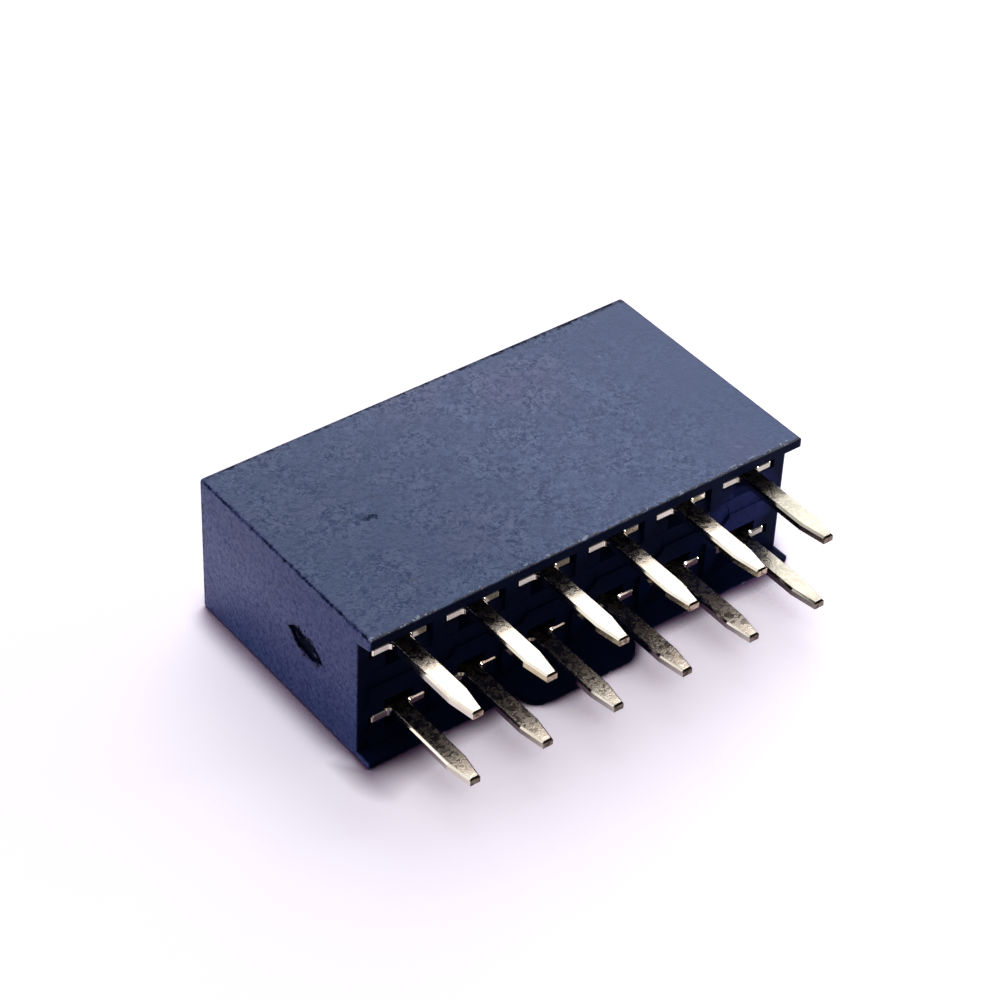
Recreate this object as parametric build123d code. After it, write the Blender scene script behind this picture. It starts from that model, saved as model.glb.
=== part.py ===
from build123d import *
import os
from math import cos, radians, sin

# Socket header with two rows of six contacts, lying on its long side.
# X runs along the rows, +Y points to the mating side, the tails point to -Y and +Z is up.
# The origin is under the middle of the whole part, on the surface that it lies on.
# All sizes are in millimetres.

# Grid of the contacts
pitch = 2.54
row_spacing = 2.54
columns = 6

# Housing outline
body_height = 8.5          # board side to mating side
body_width = 4.9           # across the two rows
end_allowance = 0.4        # length beyond whole pitches, both ends together
edge_radius = 0.12         # soft outer edges, away from the board side

# Board side of the housing
recess_depth = 0.6         # the long lips stand this far beyond the end walls and the recess floor
upper_lip = 0.36           # thickness at the free edge
lower_lip = 0.24
grid_rise = 0.1            # ribs and centre wall, above the recess floor
ridge_offset = 0.06        # the centre wall steps back above this height over its middle
ridge_step = 0.08
ejector_diameter = 0.84    # round marks of the ejector pins, beside the foot of each upper rib
ejector_depth = 0.1
ejector_shift = 0.24       # from the middle of the rib, along the row
ejector_lift = 0.17        # from the middle of the centre wall, upwards

# Rounded tab on the lower lip
tab_width = 4.2
tab_offset = -0.5          # from the middle of the length
tab_reach = 0.76
tab_corner = 0.68

# Gate mark on the left end
gate_height = 3.1          # from the board side
gate_length = 1.6
gate_breadth = 0.66
gate_depth = 0.08
gate_tilt = 10             # degrees, the end towards the board is the lower one
gate_ripple = 0.16         # share by which the torn outline wanders in and out
stub_length = 0.4          # torn lumps left standing in the mark
stub_breadth = 0.2
stub_spacing = 0.8
stub_rise = 0.06           # above the floor of the mark
stub_crest = 0.5           # top of a lump, as a share of its foot

# Contact pockets, from the board side inwards
pocket_height = 1.34       # across the contact's plane
throat_depth = 1.2         # open room round the root of the tail, below the recess floor
side_clearance = 0.11      # contact edge to pocket wall
face_clearance = 0.02      # contact face to guide slot
cavity_size = 1.0          # square room for the pin between the tines
mating_wall = 1.0

# Pin openings in the mating side
pin_size = 0.64            # square pin that the socket takes
pin_clearance = 0.08
lead_in_width = 1.5
lead_in_depth = 0.55

# Stamped contact
stock = 0.3
shoulder_width = 1.9       # the shoulders lie level with the recess floor
root_radius = 0.12
plate_length = 2.1
corner_radius = 0.08

# Tail of the contact
tail_reach = 3.0           # beyond the board side
tail_width = 0.64
tail_taper = 0.9           # length of the tapered end
tip_width = 0.34
tail_bevel = 0.06          # coined edges along both faces and across the tip

# Retention barbs
barb_clearance = 0.01      # barb point to pocket wall
barb_length = 0.3
barb_spacing = 0.2
barb_end = 0.12            # from the end of the plate to the nearest barb

# Fork that grips the pin
fork_end_gap = 0.15        # tine tips to the mating wall
tine_root_width = 0.42
tine_tip_width = 0.3
tine_draw_in = 0.08        # the outer edges draw in from the plate to the root of each tine
grip_gap = 0.54            # free gap at the grip, closed onto a pin of pin_size
grip_setback = 0.75        # from the tine tips to the grip
flare = 0.14               # the tips open outwards by this much on each side
grip_radius = 0.5

# Places that follow from the sizes above
body_length = columns * pitch + end_allowance
board_y = (tail_reach - body_height) / 2
mating_y = board_y + body_height
floor_y = board_y + recess_depth
grid_y = floor_y - grid_rise
mid_z = body_width / 2
upper_z = mid_z + row_spacing / 2
lower_z = mid_z - row_spacing / 2
pocket_width = shoulder_width + 2 * side_clearance
grid_length = (columns - 1) * pitch + pocket_width
cavity_end_y = mating_y - mating_wall
hole_size = pin_size + 2 * pin_clearance
column_x = [(i - (columns - 1) / 2) * pitch for i in range(columns)]
rib_x = [x + pitch / 2 for x in column_x[:-1]]


def block(x_range, y_range, z_range):
    """Box between the given limits along each axis."""
    limits = (x_range, y_range, z_range)
    middle = [(low + high) / 2 for low, high in limits]
    size = [high - low for low, high in limits]
    return Pos(*middle) * Box(*size)


def across(middle, width):
    """Limits of a width about its middle."""
    return (middle - width / 2, middle + width / 2)


def facing_mating_side(x, y, z):
    """Plane that looks along +Y, with its own X along the row."""
    return Plane(origin=(x, y, z), x_dir=(1, 0, 0), z_dir=(0, 1, 0))


def outer_block():
    """Plain block with soft edges along its height and round the mating side."""
    solid = block(across(0, body_length), (board_y, mating_y), (0, body_width))
    upright = solid.edges().filter_by(Axis.Y)
    rim = solid.faces().sort_by(Axis.Y)[-1].edges()
    return fillet(upright + rim, edge_radius)


def board_recess():
    """Channel through both ends, between the long lips."""
    lip_root = upper_z + pocket_height / 2
    with BuildSketch(Plane.YZ.offset(-body_length)) as section:
        with BuildLine():
            Polyline(
                (board_y - recess_depth, lower_lip),
                (board_y - recess_depth, body_width - upper_lip),
                (board_y, body_width - upper_lip),
                (floor_y, lip_root),
                (floor_y, lower_lip),
                close=True,
            )
        make_face()
    return extrude(section.sketch, amount=2 * body_length)


def rib_grid():
    """Ribs and centre wall that stand up from the recess floor between the contacts."""
    return block(across(0, grid_length), (grid_y, floor_y), (lower_lip, body_width - upper_lip))


def centre_wall_step():
    """The upper part of the centre wall lies a little deeper than the lower part."""
    pocket_bottom = upper_z - pocket_height / 2
    height = (mid_z + ridge_offset, pocket_bottom)
    return block(across(0, grid_length), (board_y, grid_y + ridge_step), height)


def ejector_marks():
    """Shallow round marks beside the foot of each upper rib."""
    disc = facing_mating_side(0, board_y, mid_z + ejector_lift) * Circle(ejector_diameter / 2)
    mark = extrude(disc, amount=grid_y + ejector_depth - board_y)
    return [Pos(x + ejector_shift, 0, 0) * mark for x in rib_x]


def centre_tab():
    """Rounded tab that carries the lower lip on towards the board."""
    outline = Pos(tab_offset, floor_y - (tab_reach + recess_depth) / 2) * Rectangle(
        tab_width, tab_reach + recess_depth
    )
    free_corners = outline.vertices().group_by(Axis.Y)[0]
    return extrude(fillet(free_corners, tab_corner), amount=lower_lip)


def gate_plane(depth):
    """Plane at a depth below the left end, looking into the housing."""
    origin = (depth - body_length / 2, board_y + gate_height, mid_z)
    long_way = Vector(0, 1, 0).rotate(Axis.X, gate_tilt)
    return Plane(origin=origin, x_dir=long_way, z_dir=(1, 0, 0))


def torn_outline():
    """Closed wandering line round the gate mark, in its own plane."""
    points = []
    for step in range(16):
        angle = radians(22.5 * step)
        reach = 1 + gate_ripple * (sin(3 * angle) + cos(6 * angle)) / 2
        points.append((reach * cos(angle) * gate_length / 2, reach * sin(angle) * gate_breadth / 2))
    return make_face(Spline(*points, periodic=True))


def torn_lump(place):
    """One lump of the torn stub, at a place along the mark."""
    foot = Pos(place, 0) * Ellipse(stub_length / 2, stub_breadth / 2)
    crest = Pos(place, 0) * Ellipse(stub_crest * stub_length / 2, stub_crest * stub_breadth / 2)
    return loft([gate_plane(gate_depth) * foot, gate_plane(gate_depth - stub_rise) * crest])


def gate_mark():
    """Shallow ragged hollow where the gate was torn off, with lumps of the stub left in it."""
    hollow = extrude(gate_plane(0) * torn_outline(), amount=gate_depth)
    return hollow - [torn_lump(place) for place in across(0, stub_spacing)]


def contact_cell():
    """Everything that is hollow round one contact, about the middle of its cell."""
    opening = block(across(0, pocket_width), (grid_y, floor_y), across(0, pocket_height))
    throat = block(across(0, cavity_size), (floor_y, floor_y + throat_depth), across(0, pocket_height))
    slot_height = stock + 2 * face_clearance
    slot = block(across(0, pocket_width), (floor_y, cavity_end_y), across(0, slot_height))
    cavity = block(across(0, cavity_size), (floor_y, cavity_end_y), across(0, cavity_size))
    hole = block(across(0, hole_size), (floor_y, mating_y), across(0, hole_size))
    inner = facing_mating_side(0, mating_y - lead_in_depth, 0) * Rectangle(hole_size, hole_size)
    outer = facing_mating_side(0, mating_y, 0) * Rectangle(lead_in_width, lead_in_width)
    lead_in = loft([inner, outer])
    return opening + throat + slot + cavity + hole + lead_in


def housing():
    """The one-piece moulding."""
    solid = outer_block() - board_recess() + rib_grid() - centre_wall_step()
    solid -= ejector_marks()
    solid -= gate_mark()
    cell = contact_cell()
    solid -= [Pos(x, 0, z) * cell for x in column_x for z in (upper_z, lower_z)]
    return solid + centre_tab()


def half_outline():
    """Right half of the flat contact, from the tail's tip round to the crotch of the fork."""
    tip_y = board_y - tail_reach
    taper_y = tip_y + tail_taper
    plate_y = floor_y + plate_length
    tine_tip_y = cavity_end_y - fork_end_gap
    grip_y = tine_tip_y - grip_setback
    half_plate = shoulder_width / 2
    root_outer = half_plate - tine_draw_in
    crotch_radius = root_outer - tine_root_width
    grip_outer = grip_gap / 2 + tine_tip_width
    barb_reach = pocket_width / 2 - barb_clearance
    barb_steps = [plate_y - barb_end - barb_length - i * (barb_length + barb_spacing) for i in (1, 0)]

    corners = [(0, tip_y), (tip_width / 2, tip_y), (tail_width / 2, taper_y)]
    corners += [(tail_width / 2, floor_y), (half_plate, floor_y)]
    for step_y in barb_steps:
        corners += [(half_plate, step_y), (barb_reach, step_y), (half_plate, step_y + barb_length)]
    corners += [
        (half_plate, plate_y),
        (root_outer, plate_y + tine_draw_in),
        (grip_outer, grip_y),
        (grip_outer + flare, tine_tip_y),
        (grip_gap / 2 + flare, tine_tip_y),
        (grip_gap / 2, grip_y),
        (crotch_radius, plate_y + crotch_radius),
    ]
    turn = crotch_radius * sin(radians(45))
    crotch = ThreePointArc(corners[-1], (turn, plate_y + crotch_radius - turn), (0, plate_y))
    return Polyline(*corners), crotch


def corners_near(face, x, y):
    """The two mirrored corners of an outline at a distance x from its middle line."""
    return [v for v in face.vertices() if abs(abs(v.X) - x) < 1e-4 and abs(v.Y - y) < 1e-4]


def contact():
    """One stamped contact, in the plane Z = 0 about the middle of its cell."""
    with BuildSketch() as blank:
        with BuildLine():
            for edge in half_outline():
                add(edge)
            mirror(about=Plane.YZ)
        make_face()
        grip_y = cavity_end_y - fork_end_gap - grip_setback
        fillet(corners_near(blank.face(), tail_width / 2, floor_y), root_radius)
        fillet(corners_near(blank.face(), shoulder_width / 2, floor_y), corner_radius)
        fillet(corners_near(blank.face(), grip_gap / 2, grip_y), grip_radius)
        fillet(corners_near(blank.face(), grip_gap / 2 + tine_tip_width, grip_y), grip_radius)
    solid = extrude(blank.sketch, amount=stock / 2, both=True)
    return bevel_tail(solid)


def bevel_tail(solid):
    """Coins the edges of the tail on both faces, along its sides and across the tip."""
    rim = [
        edge
        for edge in solid.edges()
        if abs(abs(edge.center().Z) - stock / 2) < 1e-4 and edge.center().Y < board_y
    ]
    return chamfer(rim, tail_bevel)


os.makedirs("parts", exist_ok=True)
export_step(housing(), "parts/housing.step")

blade = contact()
for row, z in (("upper", upper_z), ("lower", lower_z)):
    for number, x in enumerate(column_x, start=1):
        export_step(Pos(x, 0, z) * blade, f"parts/contact_{row}_{number}.step")
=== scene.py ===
from math import cos, pi, radians, sin

import bpy
from mathutils import Euler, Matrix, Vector


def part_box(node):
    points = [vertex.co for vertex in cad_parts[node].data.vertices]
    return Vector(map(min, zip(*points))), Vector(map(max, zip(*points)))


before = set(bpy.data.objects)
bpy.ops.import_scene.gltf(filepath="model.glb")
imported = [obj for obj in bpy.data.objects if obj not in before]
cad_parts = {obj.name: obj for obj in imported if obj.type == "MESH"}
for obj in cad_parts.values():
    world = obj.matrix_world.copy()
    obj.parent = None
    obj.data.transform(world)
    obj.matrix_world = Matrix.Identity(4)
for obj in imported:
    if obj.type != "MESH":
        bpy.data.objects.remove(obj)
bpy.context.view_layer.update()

# A socket header of blue-black moulded plastic with twelve pale plated contacts, lying on a white table.
# X runs along the rows, +Y points to the mating side and +Z is up.
# Blender works in metres, and MM turns a size in millimetres into metres.
MM = 0.001

# Places that the finishes need, in millimetres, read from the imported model
_, housing_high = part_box("housing")
upper_low, upper_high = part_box("contact_upper_1")
lower_low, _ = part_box("contact_lower_1")
last_low, last_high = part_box("contact_upper_6")
half_length = housing_high.x / MM
half_height = housing_high.z / 2 / MM
mating_level = housing_high.y / MM
tip_level = upper_low.y / MM
half_stock = (upper_high.z - upper_low.z) / 2 / MM
last_column = (last_low.x + last_high.x) / 2 / MM
row_half = (upper_low.z - lower_low.z) / 2 / MM
row_middle = (upper_high.z + lower_low.z) / 2 / MM

# The tab reaches past the board side, so that level follows from the depth of the body
body_depth = 8.5
board_level = mating_level - body_depth

# Marks on the housing, in millimetres
gate_middle = (0.35, 2.45)
gate_half_length = 0.8
gate_half_breadth = 0.44
gate_turn = radians(10)
gate_wander = (-0.8, 1.0)
dent_place = (-4.8, 1.5, 4.9)
dent_reach = (0.20, 0.11, 0.05)
# Painted shade over the left of the top and the top of the left end, where the back lamp's light falls off
left_shade_place = (-7.5, 0.0, 4.9)
left_shade_reach = (6.0, 7.0, 1.5)
# Painted pool of light in the last cell on the right of the board side
right_cell_light_place = (6.2, board_level, 2.6)
right_cell_light_reach = (1.4, 1.5, 1.3)

# How far the finishes, painted shade and painted reflection of the left end, the mating face and the lips'
# front edges reach inwards, in millimetres
end_depth = 0.10
mating_depth = 0.05
nick_depth = 0.12
worn_depth = 0.14

# Grain of the moulding, in swings to a millimetre
crinkle_scale = 6.0
fold_scale = 4.4
patch_scale = 0.8
cloud_scale = 0.3
dust_scale = 0.9
nick_scale = 3.2
tear_scale = 5.0
fleck_scale = 7.0

# Half width and height of a curl, as shares of the grain that it follows
curl_half_width = 0.034
curl_relief = 0.06

# The dark edge line reaches further in from the mating side, where distances count by this share
mating_rim_share = 0.45

# How strongly each mark of the moulding, and each painted shade and painted reflection, shows, from 0 to 1
swing_share = 0.76
curl_share = 0.9
left_shade_share = 0.52
violet_reflection_share = 0.26
dust_share = 0.5
pit_share = 0.4
dent_share = 0.7

# Sheen of the moulding
sheen_level = 0.30
sheen_swing = 0.20
sheen_least = 0.02
# Painted shade: the sheen is cut at the left of the top
left_shade_sheen_loss = 0.22

# Painted shade: the sheen of the left end fades downwards, and higher up towards the board side, where the end
# would mirror the shaded table
end_fade_middle = 1.5
end_fade_tilt = 0.3

# Relief of the moulding, in metres
skin_relief = 0.024 * MM
dent_relief = 0.03 * MM
gate_relief = 0.10 * MM

# Colours of the moulding
skin_dark = (0.022, 0.048, 0.150)
skin_light = (0.056, 0.104, 0.262)
skin_grey = (0.072, 0.094, 0.236)
# Painted shade colour for the left of the top
skin_left_shade = (0.010, 0.038, 0.122)
skin_curl = (0.170, 0.215, 0.370)
skin_worn = (0.220, 0.270, 0.400)
skin_deep = (0.005, 0.007, 0.026)
# Painted reflection of the lavender table on the left end
skin_violet_reflection = (0.060, 0.064, 0.360)
# Painted shade in the hollows and on the board side
hollow_shade_colour = (0.0028, 0.006, 0.028)
# Painted light in the last cell on the right
cell_light_colour = (0.026, 0.034, 0.150)
# Painted shade in the torn hollow of the gate
gate_shade_colour = (0.003, 0.003, 0.016)

# Grain, relief and roughness of the plating
worm_scale = 5.5
stain_scale = 1.1
cut_scale = 7.0
streak_stretch = (6.0, 0.7, 6.0)
swirl_half_width = 0.05
worm_relief = 0.003 * MM
swirl_relief = 0.0010 * MM
streak_relief = 0.002 * MM
cut_relief = 0.03 * MM
cut_depth = 0.006
# Reach of the painted dark reflection on the bevel at each tip
bevel_depth = 0.055
bevel_height = 0.06
least_roughness = 0.09
cut_roughness = 0.22
stain_share = 0.4
swirl_share = 0.35
# Strength of the painted dark on the bevels and of the painted shade on the tips of the lower row and the last
# column
bevel_shade_share = 0.9
tip_shade_share = 0.55

# Colours of the plating and of the bare alloy under it
plating_pale = (0.90, 0.85, 0.74)
plating_warm = (0.80, 0.72, 0.60)
plating_stain = (0.46, 0.28, 0.22)
plating_aged = (0.34, 0.32, 0.27)
bare_dark = (0.10, 0.06, 0.04)
bare_light = (0.44, 0.34, 0.26)
# Painted dark for the tips' bevels and for the shaded tips
tip_shade_colour = (0.012, 0.008, 0.006)

# Table, with its shade where it is sheltered and, in millimetres, close in front of the lower lip
table_half_side = 1.6
table_colour = (0.91, 0.865, 0.96)
table_corner = (0.15, 0.060, 0.18)
table_bounce = (0.16, 0.15, 0.18)
table_lift_colour = (0.95, 0.88, 1.0)
table_lift = 0.45
shelter_reach = 1.6 * MM
mirrored_shelter_reach = 4.5 * MM
shelter_samples = 10
sheltered_level = 0.53
open_level = 0.79
lip_shade_level = 0.2
lip_shade_start = 0.1
lip_shade_reach = 0.9

# Light levels, and the widths and heights of the lamps
white_level = 1.0
back_sky = 1.0
front_sky = 0.07
front_mirror = 0.10
key_level = 1.8
key_size = (0.195, 0.195)
left_level = 0.45
left_size = (0.50, 0.20)
right_level = 0.7
right_size = (0.08, 0.05)
corner_level = 15.0
corner_size = (0.008, 0.008)

# Camera
camera_place = Vector((-43.188, -51.865, 60.482)) * MM
camera_aim = Vector((0.252, 1.923, 2.865)) * MM
camera_roll = radians(2.668)
camera_lens = 109.04
camera_sensor = 36


class Nodes:
    """Short calls for building one node tree."""

    def __init__(self, owner):
        owner.use_nodes = True
        self.tree = owner.node_tree
        self.tree.nodes.clear()

    def add(self, kind, **settings):
        node = self.tree.nodes.new(kind)
        for key, value in settings.items():
            setattr(node, key, value)
        return node

    def put(self, value, socket):
        """Links an output to an input, or sets the input to a number or a colour."""
        if isinstance(value, bpy.types.NodeSocket):
            self.tree.links.new(value, socket)
        elif socket.type == "RGBA":
            socket.default_value = (*value, 1.0)
        else:
            socket.default_value = value

    def feed(self, node, **values):
        """Fills inputs by name, with _ for a space."""
        for key, value in values.items():
            self.put(value, node.inputs[key.replace("_", " ")])
        return node

    def millimetres(self, stretch=(1, 1, 1)):
        """Object coordinates in millimetres."""
        mapping = self.add("ShaderNodeMapping")
        mapping.inputs["Scale"].default_value = [s / MM for s in stretch]
        self.put(self.add("ShaderNodeTexCoord").outputs["Object"], mapping.inputs["Vector"])
        return mapping.outputs["Vector"]

    def split(self, vector):
        node = self.add("ShaderNodeSeparateXYZ")
        self.put(vector, node.inputs[0])
        return node.outputs["X"], node.outputs["Y"], node.outputs["Z"]

    def noise(self, vector, scale, detail=4.0, roughness=0.5, distortion=0.0):
        node = self.add("ShaderNodeTexNoise")
        self.feed(node, Vector=vector, Scale=scale, Detail=detail)
        self.feed(node, Roughness=roughness, Distortion=distortion)
        return node.outputs["Fac"]

    def remap(self, value, low, high, to_low=0.0, to_high=1.0):
        """Carries one range over to another, and stays at its ends beyond them."""
        node = self.add("ShaderNodeMapRange")
        self.feed(node, Value=value, From_Min=low, From_Max=high, To_Min=to_low, To_Max=to_high)
        return node.outputs["Result"]

    def math(self, operation, first, second=0.0):
        node = self.add("ShaderNodeMath", operation=operation)
        self.put(first, node.inputs[0])
        self.put(second, node.inputs[1])
        return node.outputs["Value"]

    def plus(self, first, second):
        return self.math("ADD", first, second)

    def minus(self, first, second):
        return self.math("SUBTRACT", first, second)

    def times(self, first, second):
        return self.math("MULTIPLY", first, second)

    def square(self, value):
        return self.math("POWER", value, 2.0)

    def larger(self, first, second):
        return self.math("MAXIMUM", first, second)

    def smaller(self, first, second):
        return self.math("MINIMUM", first, second)

    def away_from(self, value, middle):
        """Distance of a value from a middle, to either side."""
        return self.math("ABSOLUTE", self.minus(value, middle))

    def without(self, value, mask):
        """The value, faded out where the mask is 1."""
        return self.times(value, self.minus(1.0, mask))

    def step(self, low, high):
        """1 where the second value is the larger."""
        return self.math("LESS_THAN", low, high)

    def turned(self, first, second, middle, turn):
        """Distances from a point along and across a turned direction."""
        a = self.minus(first, middle[0])
        b = self.minus(second, middle[1])
        along = self.plus(self.times(a, cos(turn)), self.times(b, sin(turn)))
        across = self.minus(self.times(b, cos(turn)), self.times(a, sin(turn)))
        return along, across

    def oval(self, distances, reach):
        """Below 1 inside an ellipse or an ellipsoid, and above 1 outside."""
        total = 0.0
        for distance, limit in zip(distances, reach):
            total = self.plus(total, self.square(self.math("DIVIDE", distance, limit)))
        return total

    def spot(self, place, middle, reach, soft):
        """1 inside an ellipsoid, fading out over its soft rim."""
        distances = [self.minus(p, m) for p, m in zip(place, middle)]
        return self.remap(self.oval(distances, reach), 1.0 - soft, 1.0 + soft, 1.0, 0.0)

    def blend(self, factor, first, second):
        """Colour that goes from first to second."""
        node = self.add("ShaderNodeMix", data_type="RGBA")
        for value, socket in zip((factor, first, second), (node.inputs[0], node.inputs[6], node.inputs[7])):
            self.put(value, socket)
        return node.outputs[2]

    def choose(self, factor, first, second):
        """Number that goes from first to second."""
        node = self.add("ShaderNodeMix")
        for value, socket in zip((factor, first, second), (node.inputs[0], node.inputs[2], node.inputs[3])):
            self.put(value, socket)
        return node.outputs[0]

    def bump(self, height, distance, strength=1.0, normal=None):
        node = self.feed(self.add("ShaderNodeBump"), Height=height, Distance=distance, Strength=strength)
        if normal is not None:
            self.put(normal, node.inputs["Normal"])
        return node.outputs["Normal"]


def curly_skin(n, place, left_end, crinkle):
    """Mottles and thin pale curls that come and go in patches, calmer towards the right, with painted shade
    over the left of the top and a painted violet reflection on the left end.
    """
    x, y, z = n.split(place)
    fold = n.noise(place, fold_scale, detail=2.0, roughness=0.55, distortion=2.2)
    patches = n.noise(place, patch_scale, detail=3.0, roughness=0.55)
    cloud = n.noise(place, cloud_scale, detail=2.0)

    calm = n.remap(x, 2.5, 7.0, 1.0, 0.3)
    rough_zone = n.larger(n.times(n.remap(patches, 0.40, 0.60, 0.38, 1.0), calm), left_end)
    swing = n.times(n.remap(crinkle, 0.38, 0.62, -1.0, 1.0), rough_zone)
    curl = n.times(n.remap(n.away_from(fold, 0.5), 0.0, curl_half_width, 1.0, 0.0), rough_zone)
    # Painted shade towards the left, where the back lamp's light falls off
    left_shade = n.spot((x, y, z), left_shade_place, left_shade_reach, 0.95)

    shade = n.plus(n.times(swing, swing_share), n.remap(cloud, 0.3, 0.7, 0.42, 0.66))
    colour = n.blend(shade, skin_dark, n.blend(n.remap(cloud, 0.42, 0.60), skin_light, skin_grey))
    colour = n.blend(n.times(curl, curl_share), colour, skin_curl)
    colour = n.blend(n.times(left_shade, left_shade_share), colour, skin_left_shade)
    # Painted reflection: the left end is tinted violet as if it mirrored the lavender table
    colour = n.blend(n.times(left_end, violet_reflection_share), colour, skin_violet_reflection)
    return colour, swing, curl, left_shade


def dust_and_pits(n, place, colour):
    """Specks of pale dust and a few dark pits, scattered over cells of the surface."""
    cells = n.feed(n.add("ShaderNodeTexVoronoi"), Vector=place, Scale=dust_scale)
    from_middle = cells.outputs["Distance"]
    pick = n.split(cells.outputs["Color"])[0]
    speck = n.times(n.remap(from_middle, 0.035, 0.055, 1.0, 0.0), n.step(0.72, pick))
    pit = n.times(n.remap(from_middle, 0.05, 0.11, 1.0, 0.0), n.step(pick, 0.30))
    colour = n.blend(n.times(speck, dust_share), colour, skin_worn)
    return n.blend(n.times(pit, pit_share), colour, skin_deep)


def broken_edge_line(n, x, y, from_side, from_face, crinkle, nick):
    """Thin broken dark line along each rounded outer edge."""
    from_mating = n.times(n.minus(mating_level, y), mating_rim_share)
    long_edges = n.smaller(from_side, from_face)
    mating_rim = n.smaller(n.larger(from_side, from_face), from_mating)
    ragged = n.plus(n.larger(long_edges, mating_rim), n.remap(crinkle, 0.35, 0.65, -0.025, 0.025))
    ragged = n.minus(ragged, n.remap(x, -5.0, 7.0, 0.0, 0.03))
    return n.times(n.remap(ragged, 0.045, 0.08, 1.0, 0.0), n.remap(nick, 0.40, 0.56, 0.35, 1.0))


def torn_gate(n, place, left_end, torn):
    """Ragged oval of the torn gate, and the same with flecks of skin left in it, which takes the painted
    shade.
    """
    _, y, z = n.split(place)
    distances = n.turned(y, z, gate_middle, gate_turn)
    oval = n.oval(distances, (gate_half_length, gate_half_breadth))
    ragged = n.plus(oval, n.remap(torn, 0.3, 0.7, *gate_wander))
    gate = n.times(n.remap(ragged, 0.80, 1.10, 1.0, 0.0), left_end)
    flecks = n.noise(place, fleck_scale, detail=3.0, roughness=0.6)
    return gate, n.times(gate, n.remap(flecks, 0.50, 0.56, 1.0, 0.2))


def moulded_plastic():
    """Matt blue-black moulding: curly spark-eroded outer faces, smooth hollows painted dark as shade with a
    painted pool of light in the last cell, and a torn gate with painted shade in it.
    """
    material = bpy.data.materials.new("housing_plastic")
    n = Nodes(material)
    place = n.millimetres()
    x, y, z = n.split(place)
    crinkle = n.noise(place, crinkle_scale, detail=3.0, roughness=0.6, distortion=0.8)
    nick = n.noise(place, nick_scale, detail=4.0, roughness=0.7)
    torn = n.noise(place, tear_scale, detail=5.0, roughness=0.7)
    left_end = n.step(x, end_depth - half_length)
    from_side = n.minus(half_length, n.math("ABSOLUTE", x))
    from_face = n.minus(half_height, n.away_from(z, half_height))
    from_board = n.minus(y, board_level)

    # Outer faces
    colour, swing, curl, left_shade = curly_skin(n, place, left_end, crinkle)
    colour = dust_and_pits(n, place, colour)
    jog = n.remap(crinkle, 0.35, 0.65, -0.10, 0.10)
    dent = n.spot((n.plus(x, jog), n.minus(y, jog), z), dent_place, dent_reach, 0.7)
    colour = n.blend(n.times(dent, dent_share), colour, skin_deep)
    line = broken_edge_line(n, x, y, from_side, from_face, crinkle, nick)
    colour = n.blend(line, colour, skin_deep)

    # Hollows and the board side: smooth and without the crinkle, painted dark as shade, with painted light in
    # the last cell on the right
    inside = n.times(n.remap(from_side, 0.01, 0.06), n.remap(from_face, 0.01, 0.06))
    inside = n.times(inside, n.step(y, mating_level - mating_depth))
    # Painted light: the last cell on the right is lighter, as if lit from the open right end
    right_cell_light = n.spot((x, y, z), right_cell_light_place, right_cell_light_reach, 0.5)
    right_cell_light = n.times(right_cell_light, n.remap(crinkle, 0.35, 0.6, 0.5, 1.0))
    colour = n.blend(inside, colour, n.blend(right_cell_light, hollow_shade_colour, cell_light_colour))

    # Nicked front edges of the lips, the nicks painted dark as shade, with pale worn points
    nick_shade = n.step(from_board, n.remap(nick, 0.38, 0.62, -0.02, nick_depth))
    worn = n.times(n.step(from_board, worn_depth), n.step(0.585, nick))
    on_face = n.remap(from_face, 0.02, 0.05, 1.0, 0.0)
    colour = n.blend(n.times(nick_shade, on_face), colour, skin_deep)
    colour = n.blend(n.times(worn, on_face), colour, skin_worn)

    # Torn gate: black blotches of painted shade in its torn hollow, between flecks of skin, with a ragged rim
    gate, gate_shade = torn_gate(n, place, left_end, torn)
    colour = n.blend(gate_shade, colour, gate_shade_colour)

    # Relief
    outer = n.minus(1.0, inside)
    relief = n.plus(crinkle, n.times(curl, curl_relief))
    normal = n.bump(n.times(relief, outer), skin_relief)
    normal = n.bump(n.minus(0.0, dent), dent_relief, normal=normal)
    normal = n.bump(n.times(torn, gate), gate_relief, normal=normal)

    # Sheen: least in the edge line, cut by painted shade at the left of the top and low on the left end, and
    # least in the dent and in the gate
    sheen = n.without(n.plus(n.times(swing, sheen_swing), sheen_level), line)
    sheen = n.without(sheen, n.times(left_shade, left_shade_sheen_loss))
    # Painted shade: less sheen low on the left end, where it would mirror the shaded table
    height = n.plus(z, n.times(n.minus(y, end_fade_middle), end_fade_tilt))
    sheen = n.without(sheen, n.times(n.remap(height, 0.0, 2.9, 0.93, -0.30), left_end))
    sheen = n.without(sheen, n.larger(dent, gate_shade))

    finish = n.feed(
        n.add("ShaderNodeBsdfPrincipled"),
        Base_Color=colour,
        Roughness=n.remap(crinkle, 0.3, 0.7, 0.38, 0.54),
        Specular_IOR_Level=n.plus(n.times(sheen, outer), sheen_least),
        Normal=normal,
    )
    finish.inputs["IOR"].default_value = 1.5
    n.put(finish.outputs["BSDF"], n.add("ShaderNodeOutputMaterial").inputs["Surface"])
    return material


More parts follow.
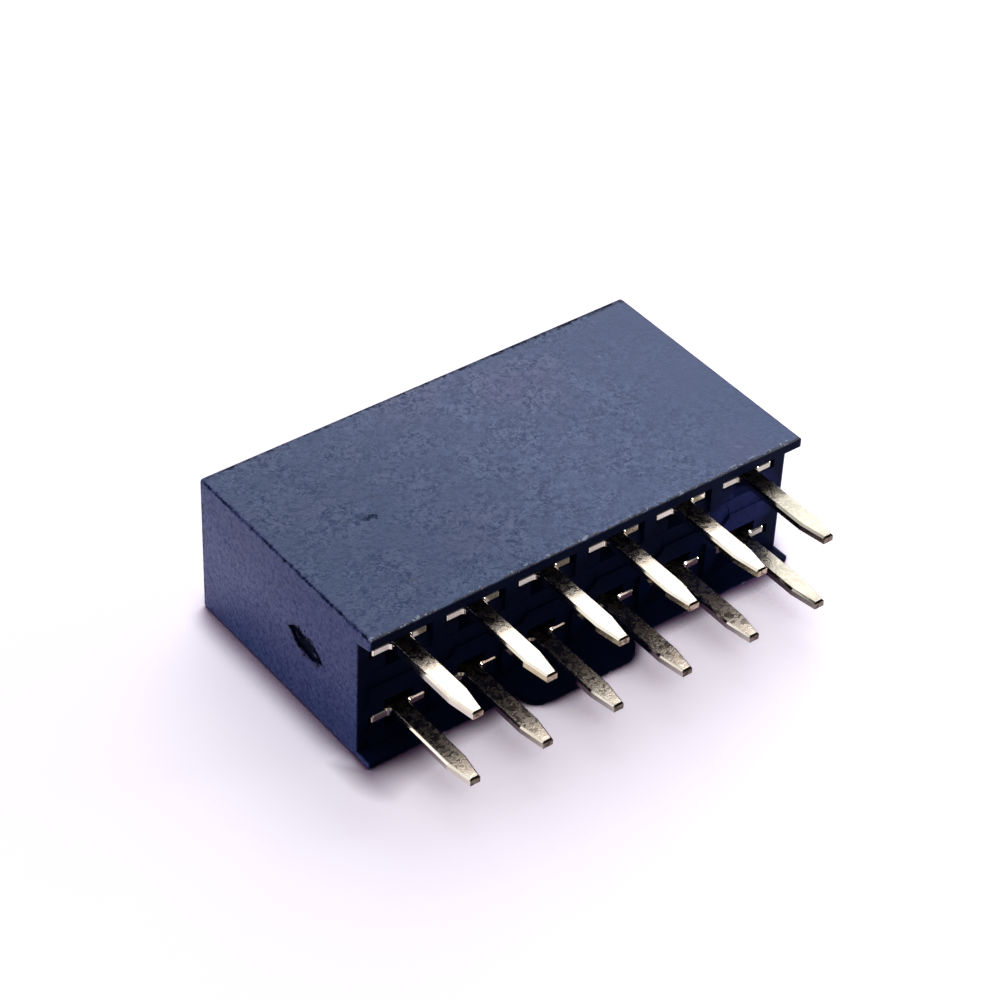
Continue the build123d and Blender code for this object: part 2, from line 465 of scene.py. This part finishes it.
def plated_metal():
    """Pale champagne plating: wormy rolled faces, smooth sheared edges and bare cut tips, with a painted dark
    reflection on the tips' bevels and painted shade on some tips.
    """
    material = bpy.data.materials.new("contact_metal")
    n = Nodes(material)
    place = n.millimetres()
    x, y, z = n.split(place)
    worms = n.noise(place, worm_scale, detail=1.0, roughness=0.5, distortion=0.9)
    streaks = n.noise(n.millimetres(stretch=streak_stretch), 1.0, detail=3.0, roughness=0.6)
    cloud = n.noise(place, stain_scale, detail=2.0)
    torn = n.noise(place, cut_scale, detail=4.0, roughness=0.7)

    # Height above or below the middle plane of each flat contact
    from_plane = n.away_from(n.away_from(z, row_middle), row_half)
    rolled = n.step(half_stock - 0.01, from_plane)

    # Plating, stained brown between the worms, and aged on the last column
    colour = n.blend(n.remap(cloud, 0.35, 0.68), plating_pale, plating_warm)
    swirl = n.remap(n.away_from(worms, 0.5), 0.0, swirl_half_width, 1.0, 0.0)
    stain = n.times(n.minus(stain_share, n.times(swirl, swirl_share)), rolled)
    colour = n.blend(stain, colour, plating_stain)
    on_last_column = n.remap(x, last_column - 1.0, last_column - 0.8)
    colour = n.blend(n.times(on_last_column, n.remap(cloud, 0.3, 0.7, 1.0, 0.6)), colour, plating_aged)

    # Cut end of each tail: bare torn alloy below a bevel painted dark as a reflection, with painted shade on
    # the lower row and the last column
    bevel_shade = n.times(n.step(y, tip_level + bevel_depth), n.step(half_stock - bevel_height, from_plane))
    colour = n.blend(n.times(bevel_shade, bevel_shade_share), colour, tip_shade_colour)
    cut = n.step(y, tip_level + cut_depth)
    # Painted shade on the tips of the lower row and the last column
    tip_shade = n.larger(n.step(z, row_middle), n.step(last_column - 0.9, x))
    bare = n.blend(n.remap(torn, 0.43, 0.55), bare_dark, bare_light)
    bare = n.blend(n.times(tip_shade, tip_shade_share), bare, tip_shade_colour)
    colour = n.blend(cut, colour, bare)

    # Relief
    normal = n.bump(n.times(worms, rolled), worm_relief, 0.5)
    normal = n.bump(n.times(swirl, rolled), swirl_relief, normal=normal)
    normal = n.bump(streaks, streak_relief, 0.4, normal)
    normal = n.bump(n.times(torn, cut), cut_relief, normal=normal)

    peel = n.times(n.remap(worms, 0.35, 0.65, 0.10, 0.24), rolled)
    finish = n.feed(
        n.add("ShaderNodeBsdfPrincipled"),
        Base_Color=colour,
        Roughness=n.plus(n.plus(peel, least_roughness), n.times(cut, cut_roughness)),
        Normal=normal,
    )
    finish.inputs["Metallic"].default_value = 1.0
    n.put(finish.outputs["BSDF"], n.add("ShaderNodeOutputMaterial").inputs["Surface"])
    return material


def shade_by_the_lip(n, x, y):
    """1 on the open table, and less close in front of the lower lip and round its left corner."""
    gap = n.minus(board_level, y)
    ahead = n.larger(n.times(gap, n.remap(x, -half_length, -2.0, 0.6, 1.6)), 0.0)
    left_of_lip = n.larger(n.minus(-half_length, x), 0.0)
    away = n.math("SQRT", n.plus(n.square(ahead), n.square(left_of_lip)))
    shade = n.remap(away, lip_shade_start, lip_shade_reach, lip_shade_level, 1.0)
    behind_lip = n.remap(gap, -1.0, 0.0, 1.0, lip_shade_level)
    past_right = n.remap(x, half_length - 1.5 * lip_shade_reach, half_length)
    return n.larger(n.larger(shade, behind_lip), past_right)


def table_finish():
    """Matt white, lavender in the shade, lifted where it is seen and dim where it only throws light back."""
    material = bpy.data.materials.new("table_white")
    n = Nodes(material)
    path = n.add("ShaderNodeLightPath")
    mirrored = path.outputs["Is Glossy Ray"]
    seen = n.larger(path.outputs["Is Camera Ray"], mirrored)
    seen = n.larger(seen, path.outputs["Is Transmission Ray"])

    x, y, _ = n.split(n.millimetres())
    shelter = n.add("ShaderNodeAmbientOcclusion", samples=shelter_samples)
    n.put(n.remap(mirrored, 0.0, 1.0, shelter_reach, mirrored_shelter_reach), shelter.inputs["Distance"])
    open_air = n.remap(shelter.outputs["AO"], sheltered_level, open_level)
    open_air = n.times(open_air, shade_by_the_lip(n, x, y))

    matt = n.add("ShaderNodeBsdfDiffuse")
    n.put(n.blend(seen, table_bounce, n.blend(open_air, table_corner, table_colour)), matt.inputs["Color"])
    lift = n.add("ShaderNodeEmission")
    n.feed(lift, Color=table_lift_colour, Strength=n.times(n.times(seen, table_lift), open_air))
    both = n.add("ShaderNodeAddShader")
    n.put(matt.outputs["BSDF"], both.inputs[0])
    n.put(lift.outputs["Emission"], both.inputs[1])
    n.put(both.outputs["Shader"], n.add("ShaderNodeOutputMaterial").inputs["Surface"])
    return material


def table_top():
    """Wide flat table under the part."""
    mesh = bpy.data.meshes.new("table_top")
    side = table_half_side
    corners = [(-side, -side, 0), (side, -side, 0), (side, side, 0), (-side, side, 0)]
    mesh.from_pydata(corners, [], [(0, 1, 2, 3)])
    mesh.materials.append(table_finish())
    table = bpy.data.objects.new("table_top", mesh)
    bpy.context.scene.collection.objects.link(table)


def sky():
    """Surroundings: plain white to the eye, and as a light pale behind the part and dim in front of it."""
    world = bpy.data.worlds.new("white_room")
    bpy.context.scene.world = world
    n = Nodes(world)
    behind = n.split(n.add("ShaderNodeTexCoord").outputs["Generated"])[1]
    path = n.add("ShaderNodeLightPath")
    soft = n.remap(behind, -0.35, 0.5, front_sky, back_sky)
    mirrored = n.remap(behind, -0.35, 0.3, front_mirror, white_level)
    level = n.choose(path.outputs["Is Glossy Ray"], soft, mirrored)
    level = n.choose(path.outputs["Is Camera Ray"], level, white_level)
    background = n.feed(n.add("ShaderNodeBackground"), Color=(1, 1, 1), Strength=level)
    n.put(background.outputs["Background"], n.add("ShaderNodeOutputWorld").inputs["Surface"])


def soft_lamp(name, place, aim, size, level):
    """Flat lamp of an even level as seen from the object."""
    width, height = size
    lamp = bpy.data.lights.new(name, "AREA")
    lamp.shape = "RECTANGLE"
    lamp.size = width
    lamp.size_y = height
    lamp.energy = level * pi * width * height
    item = bpy.data.objects.new(name, lamp)
    item.location = place
    item.rotation_euler = (Vector(aim) - Vector(place)).to_track_quat("-Z", "Y").to_euler()
    item.visible_camera = False
    bpy.context.scene.collection.objects.link(item)


def lamps():
    """Strong soft box behind on the right, faint ones at both sides and a small lamp by the last contacts."""
    foot = (0, 0, 0.002)
    soft_lamp("back_soft_box", (0.12, 0.15, 0.162), foot, key_size, key_level)
    soft_lamp("left_soft_box", (-0.40, 0.06, 0.12), foot, left_size, left_level)
    soft_lamp("right_soft_box", (0.15, -0.10, 0.04), foot, right_size, right_level)
    last_contacts = (0.005, -0.003, 0.002)
    soft_lamp("corner_lamp", (0.026, -0.016, 0.012), last_contacts, corner_size, corner_level)


def camera():
    """Long lens that looks down on the left end and the tails."""
    lens = bpy.data.cameras.new("camera")
    lens.sensor_width = camera_sensor
    lens.lens = camera_lens
    lens.clip_start = 0.005
    lens.clip_end = 5
    item = bpy.data.objects.new("camera", lens)
    item.location = camera_place
    look = (camera_aim - camera_place).to_track_quat("-Z", "Y")
    item.rotation_mode = "QUATERNION"
    item.rotation_quaternion = look @ Euler((0, 0, camera_roll)).to_quaternion()
    bpy.context.scene.collection.objects.link(item)
    bpy.context.scene.camera = item


def dress(node, material):
    """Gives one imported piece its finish."""
    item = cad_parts[node]
    item.data.materials.clear()
    item.data.materials.append(material)


plastic = moulded_plastic()
metal = plated_metal()
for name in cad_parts:
    dress(name, plastic if name == "housing" else metal)

table_top()
sky()
lamps()
camera()
bpy.context.scene.view_settings.view_transform = "Standard"
